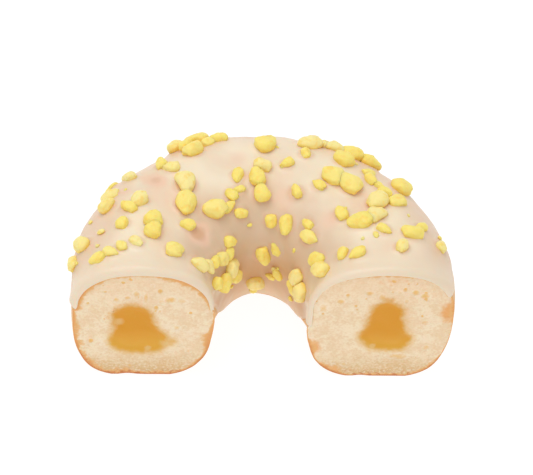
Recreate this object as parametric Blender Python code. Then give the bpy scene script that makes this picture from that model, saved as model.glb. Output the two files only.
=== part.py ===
"""Half of a ring doughnut, cut across a little in front of its middle.

The dough is baked round a soft filling, coated with a thin pale icing and scattered with crunch pieces.
Metres, +Z up. The cut faces look along -Y, and the ring rests on its flattened base at z = 0.
"""

import math

import bmesh
import bpy
import numpy as np
from mathutils import Matrix, Vector

MM = 0.001

# The ring: a tube of dough bent round a hole, a little longer front to back than half its breadth
RING_RADIUS = 28.2 * MM
TUBE_WIDTH = 31.2 * MM
TUBE_HEIGHT = 36.0 * MM
FRONT_STRETCH = 1.035
CUT_OFFSET = 6.1 * MM
SIDE_GROWTH = 0.012

# The tube is a little narrower and lower at the back than at the cuts
BACK_NARROWER = 0.8 * MM
BACK_LOWER = 1.7 * MM

# Each limb swells into the hole between its cut and the back: (station, how far)
LIMB_BULGES = ((0.27, 3.0 * MM), (0.76, 3.0 * MM))
BULGE_SPREAD = 0.18

# The tube's section: two half superellipses that meet at the shoulder, with the base cut flat
SHOULDER = 0.63
CROWN_POWER = 2.28
BELLY_POWER = 3.17
BASE_CUT = 0.5 * MM

# Uneven swells along the ring: size, pace and start
WIDTH_WAVE = (0.5 * MM, 9.4, 0.7)
HEIGHT_WAVE = (0.25 * MM, 12.2, 2.1)
OUTER_EDGE_WAVE = (1.3 * MM, 15.0, 1.0)
INNER_EDGE_WAVE = (0.7 * MM, 17.0, 0.4)

# The icing: a shell over the upper part of the tube, thinner at its wavy lower edges
ICING_PROUD = 0.3 * MM
ICING_DEPTH = 1.0 * MM
EDGE_RISE = 0.1 * MM
EDGE_DEPTH = 0.6 * MM
EDGE_ROUND = 1.3 * MM
CRUST_STEP = 1.5 * MM
GAP = 0.32 * MM

# Heights of the icing's lower edges: outside, and inside the hole at the back and at the cuts
OUTER_EDGE = 25.0 * MM
OUTER_EDGE_TILT = 2.0 * MM
INNER_EDGE_BACK = 3.5 * MM
INNER_EDGE_CUT = 20.0 * MM
INNER_EDGE_TILT = 3.0 * MM

# The filling's outline at each cut, as (outward, up) in millimetres
KEYHOLE = (
    (0.0, 8.2),
    (4.8, 9.0),
    (7.2, 12.3),
    (6.2, 15.8),
    (5.7, 18.6),
    (6.5, 21.8),
    (3.6, 24.7),
    (-0.4, 24.2),
    (-2.3, 21.6),
    (-3.2, 18.2),
    (-6.2, 13.2),
    (-4.6, 9.2),
)
BELL = (
    (1.4, 9.6),
    (5.0, 10.2),
    (7.1, 13.6),
    (5.4, 17.2),
    (4.6, 21.0),
    (4.1, 24.6),
    (0.6, 26.8),
    (-2.4, 25.0),
    (-3.1, 21.0),
    (-3.8, 17.6),
    (-4.8, 14.6),
    (-2.6, 10.6),
)
FILLING_GAP = 0.3 * MM
CUTTER_REACH = 3.0 * MM

# The crunch pieces: rounded chips, alone or in small clusters. Lengths are least, usual and most
CRUNCH_SEED = 1277
CRUNCH_COUNT = 92
CRUNCH_LENGTH = (2.4 * MM, 4.4 * MM, 7.0 * MM)
CRUNCH_WIDTH = (0.58, 0.85)
CRUNCH_HEIGHT = (0.5, 0.72)
CRUNCH_HIGHEST = 3.4 * MM
CRUNCH_TAPER = (-0.1, 0.45)
CRUNCH_DENT = (0.92, 1.04)
CRUNCH_SINK = 0.7 * MM
CRUNCH_ROOM = 1.3
CLUSTER_ROOM = 0.7
CLUSTER_STEP = (0.72, 0.95)
CLUSTER_SHARE = 0.33
STEEP_SHARE = 0.6
CUT_MARGIN = 5.0 * MM
EDGE_MARGIN = 3.6 * MM

# How finely the surfaces are faceted
AROUND = 41
COVERED = 18
WALL = 6
BASE = 3
OUTLINE_POINTS = 400
FILLING_AROUND = 24
FILLING_POINTS = 16
SITES_AROUND = 181
SITES_ACROSS = 61

COLOURS = {
    "dough": ((0.78, 0.56, 0.34), 0.75),
    "icing": ((0.86, 0.76, 0.60), 0.35),
    "filling": ((0.70, 0.36, 0.06), 0.45),
}


def clear_scene():
    for old in list(bpy.data.objects):
        bpy.data.objects.remove(old, do_unlink=True)


def new_collection(name):
    collection = bpy.data.collections.new(name)
    bpy.context.scene.collection.children.link(collection)
    return collection


def wave(u, size, pace, start):
    """An uneven swell at station u, which runs from 0 at the right cut to 1 at the left cut."""
    return size * math.sin(pace * u + start)


def hole_bulge(u):
    """How far the tube swells into the hole at station u."""
    return sum(most * math.exp(-(((u - middle) / BULGE_SPREAD) ** 2)) for middle, most in LIMB_BULGES)


def outline(u):
    """The tube's outline at station u, as (outward, up), from the outer foot over the top to the inner."""
    side = math.cos(math.pi * u)
    back = math.sin(math.pi * u)
    width = TUBE_WIDTH * (1 + SIDE_GROWTH * side) - BACK_NARROWER * back + wave(u, *WIDTH_WAVE)
    height = TUBE_HEIGHT * (1 + SIDE_GROWTH * side) - BACK_LOWER * back + wave(u, *HEIGHT_WAVE)
    middle = height * SHOULDER
    foot = math.asin((middle / (middle + BASE_CUT)) ** (BELLY_POWER / 2))
    angle = np.linspace(-foot, math.pi + foot, OUTLINE_POINTS)
    sine = np.sin(angle)
    cosine = np.cos(angle)
    power = np.where(sine >= 0, 2 / CROWN_POWER, 2 / BELLY_POWER)
    reach = np.where(sine >= 0, height - middle, middle + BASE_CUT)
    out = width / 2 * np.sign(cosine) * np.abs(cosine) ** power
    inward = np.clip(-2 * out / width, 0, 1)
    out -= hole_bulge(u) * inward**2 * (3 - 2 * inward)
    up = middle + reach * np.sign(sine) * np.abs(sine) ** power
    return np.stack([out, np.maximum(up, 0)], axis=1)


def edge_heights(u):
    """Heights of the icing's outer and inner edges at station u: it runs far down at the back of the hole."""
    side = math.cos(math.pi * u)
    outer = OUTER_EDGE + OUTER_EDGE_TILT * side + wave(u, *OUTER_EDGE_WAVE)
    rise = INNER_EDGE_CUT - INNER_EDGE_BACK - INNER_EDGE_TILT * side
    inner = INNER_EDGE_BACK + side**4 * rise + wave(u, *INNER_EDGE_WAVE)
    return outer, inner


class Section:
    """The tube at one station: its outline by arc length, and how far each surface lies from it."""

    def __init__(self, u):
        self.points = outline(u)
        steps = np.linalg.norm(np.diff(self.points, axis=0), axis=1)
        self.arc = np.concatenate([[0.0], np.cumsum(steps)])
        along = np.gradient(self.points, self.arc, axis=0)
        along /= np.linalg.norm(along, axis=1)[:, None]
        self.normals = np.stack([along[:, 1], -along[:, 0]], axis=1)
        top = int(np.argmax(self.points[:, 1]))
        outer, inner = edge_heights(u)
        self.outer_edge = np.interp(outer, self.points[:top, 1], self.arc[:top])
        self.inner_edge = np.interp(inner, self.points[:top:-1, 1], self.arc[:top:-1])

    def at(self, arc, lift):
        """Points at these arc lengths, lifted off the outline by so much."""
        place = np.stack([np.interp(arc, self.arc, self.points[:, i]) for i in (0, 1)], axis=1)
        normal = np.stack([np.interp(arc, self.arc, self.normals[:, i]) for i in (0, 1)], axis=1)
        return place + normal * np.asarray(lift)[..., None]

    def covered(self):
        """Arc lengths under the icing, close together at its two edges."""
        inside = np.linspace(self.outer_edge + EDGE_ROUND, self.inner_edge - EDGE_ROUND, COVERED - 2)
        return np.concatenate([[self.outer_edge], inside, [self.inner_edge]])


def shell_lift(middle, edge):
    """A lift across the icing that has another value at its two edges."""
    lift = np.full(COVERED, middle)
    lift[[0, -1]] = edge
    return lift


def on_ring(u, section):
    """Section points set on the ring, so that both ends of the ring lie in the plane of the cut."""
    radius = RING_RADIUS + section[:, 0]
    lead = np.arcsin(CUT_OFFSET / (radius * FRONT_STRETCH))
    angle = (math.pi + 2 * lead) * u - lead
    x = radius * np.cos(angle)
    y = radius * FRONT_STRETCH * np.sin(angle)
    return np.stack([x, y, section[:, 1]], axis=1)


def loft(name, loops, collection, capped=True):
    """A closed solid through the loops, each with the same number of points."""
    mesh = bmesh.new()
    rings = [[mesh.verts.new(point) for point in loop] for loop in loops]
    count = len(rings[0])
    for first, second in zip(rings, rings[1:]):
        for i in range(count):
            j = (i + 1) % count
            mesh.faces.new((first[i], first[j], second[j], second[i]))
    if capped:
        mesh.faces.new(rings[0])
        mesh.faces.new(rings[-1][::-1])
    else:
        # A thin shell's ends are closed strip by strip, from its outer side to its inner side
        for ring in (rings[0], rings[-1]):
            for i in range(count // 2 - 1):
                mesh.faces.new((ring[i], ring[i + 1], ring[count - 2 - i], ring[count - 1 - i]))
    bmesh.ops.recalc_face_normals(mesh, faces=mesh.faces)
    data = bpy.data.meshes.new(name)
    mesh.to_mesh(data)
    mesh.free()
    item = bpy.data.objects.new(name, data)
    collection.objects.link(item)
    return item


def finish(item):
    """Smooth shading with sharp corners, and the piece's own material."""
    colour, roughness = COLOURS[item.name]
    material = bpy.data.materials.new(item.name)
    material.use_nodes = True
    shader = material.node_tree.nodes["Principled BSDF"]
    shader.inputs["Base Color"].default_value = (*colour, 1.0)
    shader.inputs["Roughness"].default_value = roughness
    item.data.materials.clear()
    item.data.materials.append(material)
    item.data.shade_smooth()
    item.data.set_sharp_from_angle(angle=math.radians(40))


def cut(item, cutter):
    modifier = item.modifiers.new("channel", "BOOLEAN")
    modifier.operation = "DIFFERENCE"
    modifier.object = cutter


def apply_modifiers(item):
    """The item's evaluated mesh takes the place of its own."""
    graph = bpy.context.evaluated_depsgraph_get()
    mesh = bpy.data.meshes.new_from_object(item.evaluated_get(graph))
    item.modifiers.clear()
    item.data = mesh


def make_dough(parts):
    loops = []
    for u in np.linspace(0, 1, AROUND):
        section = Section(u)
        outer_wall = np.linspace(0, section.outer_edge - CRUST_STEP, WALL)
        inner_wall = np.linspace(section.inner_edge + CRUST_STEP, section.arc[-1], WALL)
        arc = np.concatenate([outer_wall, section.covered(), inner_wall])
        under = shell_lift(-ICING_DEPTH - GAP, -EDGE_DEPTH - GAP)
        lift = np.concatenate([np.zeros(WALL), under, np.zeros(WALL)])
        wall = section.at(arc, lift)
        base = np.linspace(wall[-1], wall[0], BASE + 2)[1:-1]
        loops.append(on_ring(u, np.concatenate([wall, base])))
    return loft("dough", loops, parts)


def smooth_loop(points, count):
    """Points spread along a closed smooth curve through the given ones."""
    places = np.linspace(0, len(points), count, endpoint=False)
    index = places.astype(int)
    t = (places - index)[:, None]
    before, start, end, after = (points[(index + step) % len(points)] for step in (-1, 0, 1, 2))
    bend = (2 * before - 5 * start + 4 * end - after) * t**2
    twist = (3 * start - before - 3 * end + after) * t**3
    return start + 0.5 * ((end - before) * t + bend + twist)


def grown(loop, distance):
    """The loop moved outwards by a distance."""
    along = np.roll(loop, -1, axis=0) - np.roll(loop, 1, axis=0)
    along /= np.linalg.norm(along, axis=1)[:, None]
    return loop + distance * np.stack([along[:, 1], -along[:, 0]], axis=1)


def filling_loops(gap):
    """The filling's sections from the bell on the right to the keyhole on the left."""
    loops = []
    for u in np.linspace(0, 1, FILLING_AROUND):
        share = u * u * (3 - 2 * u)
        points = (np.array(BELL) * (1 - share) + np.array(KEYHOLE) * share) * MM
        loops.append(on_ring(u, grown(smooth_loop(points, FILLING_POINTS), gap)))
    return loops


def make_filling(parts):
    return loft("filling", filling_loops(0.0), parts)


def make_channel(cutters):
    """The space that the filling lies in, run on through both cut faces."""
    loops = filling_loops(FILLING_GAP)
    reach = np.array([0.0, -CUTTER_REACH, 0.0])
    channel = loft("channel", [loops[0] + reach, *loops, loops[-1] + reach], cutters)
    channel.hide_render = True
    channel.display_type = "WIRE"
    return channel


def make_icing(parts):
    loops = []
    for u in np.linspace(0, 1, AROUND):
        section = Section(u)
        arc = section.covered()
        outside = section.at(arc, shell_lift(ICING_PROUD, -EDGE_RISE))
        inside = section.at(arc, shell_lift(-ICING_DEPTH, -EDGE_DEPTH))
        loops.append(on_ring(u, np.concatenate([outside, inside[::-1]])))
    return loft("icing", loops, parts, capped=False)


def icing_sites():
    """Places on the icing, clear of its edges and the cut: points, axes along, across and out, and areas."""
    rows = []
    for u in np.linspace(0, 1, SITES_AROUND):
        section = Section(u)
        arc = np.linspace(section.outer_edge + EDGE_MARGIN, section.inner_edge - EDGE_MARGIN, SITES_ACROSS)
        rows.append(on_ring(u, section.at(arc, np.full(SITES_ACROSS, ICING_PROUD))))
    points = np.array(rows)
    along = np.gradient(points, axis=0)
    outward = np.cross(along, np.gradient(points, axis=1))
    area = np.linalg.norm(outward, axis=2)
    outward /= area[..., None]
    along /= np.linalg.norm(along, axis=2)[..., None]
    axes = np.stack([along, np.cross(outward, along), outward], axis=3)
    clear = points[..., 1] > CUT_MARGIN - CUT_OFFSET
    return points[clear], axes[clear], area[clear]


def crunch_places():
    """Where each crunch piece lies and how large it is, drawn by one rule from one seed.

    Pieces fall evenly on the icing, fewer where it is steep, and keep apart unless one joins a cluster.
    """
    draw = np.random.RandomState(CRUNCH_SEED)
    points, axes, area = icing_sites()
    chance = area * (STEEP_SHARE + (1 - STEEP_SHARE) * np.clip(axes[:, 2, 2], 0, 1))
    chance /= chance.sum()
    places = []
    while len(places) < CRUNCH_COUNT:
        length = draw.triangular(*CRUNCH_LENGTH)
        site = draw.choice(len(points), p=chance)
        room = CRUNCH_ROOM
        if places and draw.uniform() < CLUSTER_SHARE:
            last = places[-1]
            turn = draw.uniform(0, 2 * math.pi)
            step = draw.uniform(*CLUSTER_STEP) * (length + last["length"]) / 2
            wish = last["point"] + step * (last["axes"] @ [math.cos(turn), math.sin(turn), 0])
            site = np.argmin(np.linalg.norm(points - wish, axis=1))
            room = CLUSTER_ROOM
        if any(
            np.linalg.norm(points[site] - other["point"]) < room / 2 * (length + other["length"])
            for other in places
        ):
            continue
        places.append(
            {
                "point": points[site],
                "axes": axes[site],
                "length": length,
                "width": length * draw.uniform(*CRUNCH_WIDTH),
                "height": min(length * draw.uniform(*CRUNCH_HEIGHT), CRUNCH_HIGHEST),
                "turn": draw.uniform(0, 2 * math.pi),
                "taper": draw.uniform(*CRUNCH_TAPER),
            }
        )
    return places


def make_crunch(name, place, draw, collection):
    """One chip: a coarse ball drawn out, tapered and dented, lying on the icing with its foot sunk in."""
    mesh = bmesh.new()
    bmesh.ops.create_icosphere(mesh, subdivisions=1, radius=1.0)
    half = Vector((place["length"], place["width"], place["height"])) / 2
    for vertex in mesh.verts:
        x, y, z = vertex.co * draw.uniform(*CRUNCH_DENT)
        narrow = 1 - place["taper"] * x
        vertex.co = Vector((x * half.x, y * half.y * narrow, z * half.z * (1 + narrow) / 2))
    seat = Matrix.Translation(place["point"]) @ Matrix(place["axes"].tolist()).to_4x4()
    lift = Matrix.Translation((0, 0, half.z - CRUNCH_SINK))
    bmesh.ops.transform(mesh, matrix=seat @ lift @ Matrix.Rotation(place["turn"], 4, "Z"), verts=mesh.verts)
    data = bpy.data.meshes.new(name)
    mesh.to_mesh(data)
    mesh.free()
    collection.objects.link(bpy.data.objects.new(name, data))


def fuse_crunch(icing, cutters):
    """All crunch pieces joined to the icing in one Boolean union, and then removed."""
    crunch = bpy.data.collections.new("crunch")
    cutters.children.link(crunch)
    draw = np.random.RandomState(CRUNCH_SEED)
    for i, place in enumerate(crunch_places()):
        make_crunch(f"crunch_{i:03d}", place, draw, crunch)
    modifier = icing.modifiers.new("crunch", "BOOLEAN")
    modifier.operation = "UNION"
    modifier.operand_type = "COLLECTION"
    modifier.collection = crunch
    modifier.solver = "MANIFOLD"
    apply_modifiers(icing)
    for piece in list(crunch.objects):
        bpy.data.objects.remove(piece, do_unlink=True)
    bpy.data.collections.remove(crunch)


def stand_on_origin(items, followers):
    """Everything moves together, so that the bottom centre of the doughnut's box is the origin."""
    corners = np.concatenate([[vertex.co[:] for vertex in item.data.vertices] for item in items])
    low = corners.min(axis=0)
    high = corners.max(axis=0)
    shift = Vector((-(low[0] + high[0]) / 2, -(low[1] + high[1]) / 2, -low[2]))
    for item in (*items, *followers):
        item.location = shift


def main():
    clear_scene()
    parts = new_collection("doughnut")
    cutters = new_collection("cutters")
    dough = make_dough(parts)
    icing = make_icing(parts)
    filling = make_filling(parts)
    channel = make_channel(cutters)
    cut(dough, channel)
    fuse_crunch(icing, cutters)
    stand_on_origin((dough, icing, filling), (channel,))
    for item in (dough, icing, filling):
        finish(item)


main()
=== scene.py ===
"""The looks of half a filled ring doughnut: crust, open crumb, custard, icing and crunch pieces.

Metres, +Z up, in the frame of the solid model. The cut faces look along -Y.
Lengths that are named with MM are millimetres made metres.
"""

import math

import bmesh
import bpy
import numpy as np
from mathutils import Matrix, Vector, noise


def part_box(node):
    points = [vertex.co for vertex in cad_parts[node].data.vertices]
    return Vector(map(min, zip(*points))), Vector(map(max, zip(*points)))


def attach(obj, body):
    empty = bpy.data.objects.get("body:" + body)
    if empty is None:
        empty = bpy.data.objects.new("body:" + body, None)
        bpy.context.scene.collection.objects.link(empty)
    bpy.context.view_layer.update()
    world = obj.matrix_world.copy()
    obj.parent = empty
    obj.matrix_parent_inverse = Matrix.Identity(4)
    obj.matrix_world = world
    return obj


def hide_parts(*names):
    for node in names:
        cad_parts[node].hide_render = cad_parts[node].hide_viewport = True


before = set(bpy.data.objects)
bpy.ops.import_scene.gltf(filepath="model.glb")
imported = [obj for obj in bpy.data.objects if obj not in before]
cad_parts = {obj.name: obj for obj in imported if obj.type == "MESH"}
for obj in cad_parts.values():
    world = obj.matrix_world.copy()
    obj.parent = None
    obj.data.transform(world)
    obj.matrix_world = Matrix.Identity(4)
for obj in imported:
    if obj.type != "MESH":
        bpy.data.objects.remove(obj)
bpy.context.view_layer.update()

MM = 0.001

# The ring and its tube, as the solid model has them
RING_RADIUS = 28.2 * MM
TUBE_WIDTH = 31.2 * MM
TUBE_HEIGHT = 36.0 * MM
FRONT_STRETCH = 1.035
CUT_OFFSET = 6.1 * MM
SIDE_GROWTH = 0.012
BACK_NARROWER = 0.8 * MM
BACK_LOWER = 1.7 * MM
SHOULDER = 0.63
CROWN_POWER = 2.28
BELLY_POWER = 3.17
BASE_CUT = 0.5 * MM
OUTLINE_POINTS = 400

# Each limb swells into the hole between its cut and the back: (station, how far)
LIMB_BULGES = ((0.27, 3.0 * MM), (0.76, 3.0 * MM))
BULGE_SPREAD = 0.18

# Uneven swells along the ring: size, pace and start
WIDTH_WAVE = (0.5 * MM, 9.4, 0.7)
HEIGHT_WAVE = (0.25 * MM, 12.2, 2.1)
OUTER_EDGE_WAVE = (1.3 * MM, 15.0, 1.0)
INNER_EDGE_WAVE = (0.7 * MM, 17.0, 0.4)

# The filling's outline at each cut, as (outward, up) in millimetres
KEYHOLE = (
    (0.0, 8.2),
    (4.8, 9.0),
    (7.2, 12.3),
    (6.2, 15.8),
    (6.3, 18.6),
    (6.5, 21.8),
    (3.6, 24.7),
    (-0.4, 24.2),
    (-2.3, 21.6),
    (-3.2, 18.2),
    (-6.2, 13.2),
    (-4.6, 9.2),
)
BELL = (
    (1.4, 9.6),
    (5.0, 10.2),
    (7.1, 13.6),
    (5.4, 17.2),
    (4.6, 21.0),
    (4.1, 24.6),
    (0.6, 26.8),
    (-2.4, 25.0),
    (-3.1, 21.0),
    (-3.8, 17.6),
    (-4.8, 14.6),
    (-2.6, 10.6),
)
FILLING_AROUND = 24
FILLING_POINTS = 16
FILLING_MIDDLE = np.array([1.0, 16.0]) * MM
RAGGED = 0.25 * MM
RAGGED_SIZE = 2.4 * MM

# The icing coat
ICING_PROUD = 0.3 * MM
ICING_DEPTH = 1.0 * MM
OUTER_EDGE = 25.0 * MM
OUTER_EDGE_TILT = 2.0 * MM
INNER_EDGE_BACK = 3.5 * MM
INNER_EDGE_CUT = 20.0 * MM
INNER_EDGE_TILT = 3.0 * MM

# The crunch pieces, drawn by the solid model's own rule
CRUNCH_SEED = 1277
CRUNCH_COUNT = 92
CRUNCH_LENGTH = (2.4 * MM, 4.4 * MM, 7.0 * MM)
CRUNCH_WIDTH = (0.58, 0.85)
CRUNCH_HEIGHT = (0.5, 0.72)
CRUNCH_HIGHEST = 3.4 * MM
CRUNCH_TAPER = (-0.1, 0.45)
CRUNCH_SINK = 0.7 * MM
CRUNCH_ROOM = 1.3
CLUSTER_ROOM = 0.7
CLUSTER_STEP = (0.72, 0.95)
CLUSTER_SHARE = 0.33
STEEP_SHARE = 0.6
CUT_MARGIN = 5.0 * MM
EDGE_MARGIN = 3.6 * MM
SITES_AROUND = 181
SITES_ACROSS = 61

# A turn sharper than this is a cut edge, and is shaded as one
CORNER = math.radians(60.0)

# How far one seed's noise lies from the next one's
SEED_STEP = (3.7, 1.9, 5.3)

# Keeps a division clear of nought
LEAST_LENGTH = 1e-12


# Shared measures

def smooth(low, high, value):
    """0 below low, 1 above high, with a soft rise between them."""
    share = np.clip((value - low) / (high - low), 0, 1)
    return share * share * (3 - 2 * share)


def ripple(points, size, seed):
    """Soft noise from about -1 to 1 at each point, with swells of about this size."""
    offset = Vector([seed * step for step in SEED_STEP])
    return np.array([noise.noise(Vector(point) / size + offset) for point in points.reshape(-1, 3)])


def wave(u, size, pace, start):
    """An uneven swell at station u, which runs from 0 at the right cut to 1 at the left cut."""
    return size * math.sin(pace * u + start)


def hole_bulge(u):
    """How far the tube swells into the hole at station u."""
    return sum(most * math.exp(-(((u - middle) / BULGE_SPREAD) ** 2)) for middle, most in LIMB_BULGES)


def outline(u):
    """The tube's outline at station u, as (outward, up), from the outer foot over the top to the inner."""
    side = math.cos(math.pi * u)
    back = math.sin(math.pi * u)
    width = TUBE_WIDTH * (1 + SIDE_GROWTH * side) - BACK_NARROWER * back + wave(u, *WIDTH_WAVE)
    height = TUBE_HEIGHT * (1 + SIDE_GROWTH * side) - BACK_LOWER * back + wave(u, *HEIGHT_WAVE)
    middle = height * SHOULDER
    foot = math.asin((middle / (middle + BASE_CUT)) ** (BELLY_POWER / 2))
    angle = np.linspace(-foot, math.pi + foot, OUTLINE_POINTS)
    sine = np.sin(angle)
    cosine = np.cos(angle)
    power = np.where(sine >= 0, 2 / CROWN_POWER, 2 / BELLY_POWER)
    reach = np.where(sine >= 0, height - middle, middle + BASE_CUT)
    out = width / 2 * np.sign(cosine) * np.abs(cosine) ** power
    inward = np.clip(-2 * out / width, 0, 1)
    out -= hole_bulge(u) * inward**2 * (3 - 2 * inward)
    up = middle + reach * np.sign(sine) * np.abs(sine) ** power
    return np.stack([out, np.maximum(up, 0)], axis=1)


def edge_heights(u):
    """Heights of the icing's outer and inner edges at station u: it runs far down at the back of the hole."""
    side = math.cos(math.pi * u)
    outer = OUTER_EDGE + OUTER_EDGE_TILT * side + wave(u, *OUTER_EDGE_WAVE)
    rise = INNER_EDGE_CUT - INNER_EDGE_BACK - INNER_EDGE_TILT * side
    inner = INNER_EDGE_BACK + side**4 * rise + wave(u, *INNER_EDGE_WAVE)
    return outer, inner


class Section:
    """The tube at one station: its outline by arc length, its normals, and where the icing ends on it."""

    def __init__(self, u):
        self.points = outline(u)
        steps = np.linalg.norm(np.diff(self.points, axis=0), axis=1)
        self.arc = np.concatenate([[0.0], np.cumsum(steps)])
        along = np.gradient(self.points, self.arc, axis=0)
        along /= np.linalg.norm(along, axis=1)[:, None]
        self.normals = np.stack([along[:, 1], -along[:, 0]], axis=1)
        top = int(np.argmax(self.points[:, 1]))
        self.crown = self.arc[top]
        outer, inner = edge_heights(u)
        self.outer_edge = np.interp(outer, self.points[:top, 1], self.arc[:top])
        self.inner_edge = np.interp(inner, self.points[:top:-1, 1], self.arc[:top:-1])

    def at(self, arc, lift):
        """Points at these arc lengths, lifted off the outline by so much."""
        place = np.stack([np.interp(arc, self.arc, self.points[:, i]) for i in (0, 1)], axis=1)
        normal = np.stack([np.interp(arc, self.arc, self.normals[:, i]) for i in (0, 1)], axis=1)
        return place + normal * np.asarray(lift)[..., None]


def on_ring(u, section):
    """Section points set on the ring, so that both ends of the ring lie in the plane of the cut."""
    radius = RING_RADIUS + section[:, 0]
    lead = np.arcsin(CUT_OFFSET / (radius * FRONT_STRETCH))
    angle = (math.pi + 2 * lead) * u - lead
    x = radius * np.cos(angle)
    y = radius * FRONT_STRETCH * np.sin(angle)
    return np.stack([x, y, section[:, 1]], axis=1)


def smooth_loop(points, count):
    """Points spread along a closed smooth curve through the given ones."""
    places = np.linspace(0, len(points), count, endpoint=False)
    index = places.astype(int)
    t = (places - index)[:, None]
    before, start, end, after = (points[(index + step) % len(points)] for step in (-1, 0, 1, 2))
    bend = (2 * before - 5 * start + 4 * end - after) * t**2
    twist = (3 * start - before - 3 * end + after) * t**3
    return start + 0.5 * ((end - before) * t + bend + twist)


def filling_outline(u, count, ragged=RAGGED):
    """The filling's outline at station u: the bell on the right turns into the keyhole on the left."""
    share = u * u * (3 - 2 * u)
    points = (np.array(BELL) * (1 - share) + np.array(KEYHOLE) * share) * MM
    loop = smooth_loop(points, count)
    along = np.roll(loop, -1, axis=0) - np.roll(loop, 1, axis=0)
    along /= np.linalg.norm(along, axis=1)[:, None]
    places = np.column_stack([loop, np.full(count, u * math.pi * RING_RADIUS)])
    lift = ragged * ripple(places, RAGGED_SIZE, seed=9)
    return loop + lift[:, None] * np.stack([along[:, 1], -along[:, 0]], axis=1)


def ring_place():
    """From the ring's own centre to the frame: the filling's corner is where the solid model has it."""
    stations = np.linspace(0, 1, FILLING_AROUND)
    surface = np.concatenate([on_ring(u, filling_outline(u, FILLING_POINTS, 0.0)) for u in stations])
    return np.array(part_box("filling")[0]) - surface.min(axis=0)


PLACE = ring_place()


def nearest(points, line):
    """The distance from each point to a closed line of close points."""
    gaps = [np.linalg.norm(line - point, axis=1).min() for point in points]
    return np.array(gaps)


def new_piece(name, points, faces, material):
    """A mesh object at the origin, shaded smooth, with its points in the frame and its faces looking out."""
    data = bpy.data.meshes.new(name)
    data.from_pydata((np.asarray(points) + PLACE).tolist(), [], faces)
    mesh = bmesh.new()
    mesh.from_mesh(data)
    bmesh.ops.recalc_face_normals(mesh, faces=mesh.faces)
    mesh.to_mesh(data)
    mesh.free()
    data.materials.append(material)
    data.shade_smooth()
    item = bpy.data.objects.new(name, data)
    bpy.context.scene.collection.objects.link(item)
    return item


def mark(item, name, values):
    """One number kept at each point of a piece, for its material to read."""
    layer = item.data.attributes.new(name, "FLOAT", "POINT")
    layer.data.foreach_set("value", np.asarray(values, np.float32))


def rings(start, number, count):
    """The point numbers of so many rows of count points, from start on."""
    return [range(start + i * count, start + (i + 1) * count) for i in range(number)]


def skin(rows):
    """Four-sided faces between each closed row of points and the next."""
    faces = []
    for first, second in zip(rows, rows[1:]):
        for i in range(len(first)):
            j = (i + 1) % len(first)
            faces.append((first[i], first[j], second[j], second[i]))
    return faces


def bake_modifier(item):
    """The evaluated mesh takes the place of the piece's own, and its modifiers go."""
    graph = bpy.context.evaluated_depsgraph_get()
    data = bpy.data.meshes.new_from_object(item.evaluated_get(graph))
    item.modifiers.clear()
    item.data = data
    data.shade_smooth()
    return item


# Node helpers

def add(tree, kind, inputs=None, **settings):
    """A new node with its settings, and each input set to a value or joined to another node's output."""
    node = tree.nodes.new(kind)
    for name, value in settings.items():
        setattr(node, name, value)
    for key, value in (inputs or {}).items():
        if isinstance(value, bpy.types.NodeSocket):
            tree.links.new(value, node.inputs[key])
        else:
            node.inputs[key].default_value = value
    return node


def maths(tree, operation, *values):
    return add(tree, "ShaderNodeMath", dict(enumerate(values)), operation=operation).outputs[0]


def ramp(tree, value, low, high, start=0.0, end=1.0):
    """A soft step from start to end as value goes from low to high."""
    inputs = {"Value": value, "From Min": low, "From Max": high, "To Min": start, "To Max": end}
    return add(tree, "ShaderNodeMapRange", inputs, interpolation_type="SMOOTHSTEP").outputs[0]


def blend(tree, share, first, second):
    """One colour laid over another by a share from 0 to 1."""
    return add(tree, "ShaderNodeMix", {0: share, 6: first, 7: second}, data_type="RGBA").outputs[2]


def cloud(tree, place, size, detail=2.0, roughness=0.5):
    """Soft noise from 0 to 1 with swells of about this size."""
    inputs = {"Vector": place, "Scale": 1 / size, "Detail": detail, "Roughness": roughness}
    return add(tree, "ShaderNodeTexNoise", inputs).outputs["Fac"]


def wander(tree, place, size, spread, middle=0.0, detail=2.0):
    """Soft noise that strays by half of spread to either side of a middle value."""
    return maths(tree, "MULTIPLY_ADD", cloud(tree, place, size, detail), spread, middle - spread / 2)


def lay(tree, colour, over, value, low, high, most=1.0, least=0.0):
    """A colour with another one laid over it, more and more as value goes from low to high."""
    return blend(tree, ramp(tree, value, low, high, least, most), colour, over)


def height_at(tree, place):
    return add(tree, "ShaderNodeSeparateXYZ", {0: place}).outputs["Z"]


def kept(tree, name):
    """The number kept at each point under this name, in a material."""
    return add(tree, "ShaderNodeAttribute", attribute_name=name).outputs["Fac"]


def tone(red, green, blue):
    """A screen colour from 0 to 255 as the light it stands for."""
    shares = (np.array([red, green, blue]) / 255.0).tolist()
    return (*[s / 12.92 if s <= 0.04045 else ((s + 0.055) / 1.055) ** 2.4 for s in shares], 1.0)


def new_material(name, roughness, subsurface=0.0, depth=1.0 * MM):
    """A material with one Principled shader, its tree and its Object coordinates."""
    material = bpy.data.materials.new(name)
    material.use_nodes = True
    tree = material.node_tree
    shader = tree.nodes["Principled BSDF"]
    shader.inputs["Roughness"].default_value = roughness
    shader.inputs["Subsurface Weight"].default_value = subsurface
    shader.inputs["Subsurface Scale"].default_value = depth
    place = add(tree, "ShaderNodeTexCoord").outputs["Object"]
    return material, tree, shader, place


def finish(tree, shader, colour, height, distance, strength):
    """The shader gets its colour, and fine relief in the shading only."""
    inputs = {"Height": height, "Distance": distance, "Strength": strength}
    bump = add(tree, "ShaderNodeBump", inputs).outputs[0]
    tree.links.new(colour, shader.inputs["Base Color"])
    tree.links.new(bump, shader.inputs["Normal"])


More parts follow.
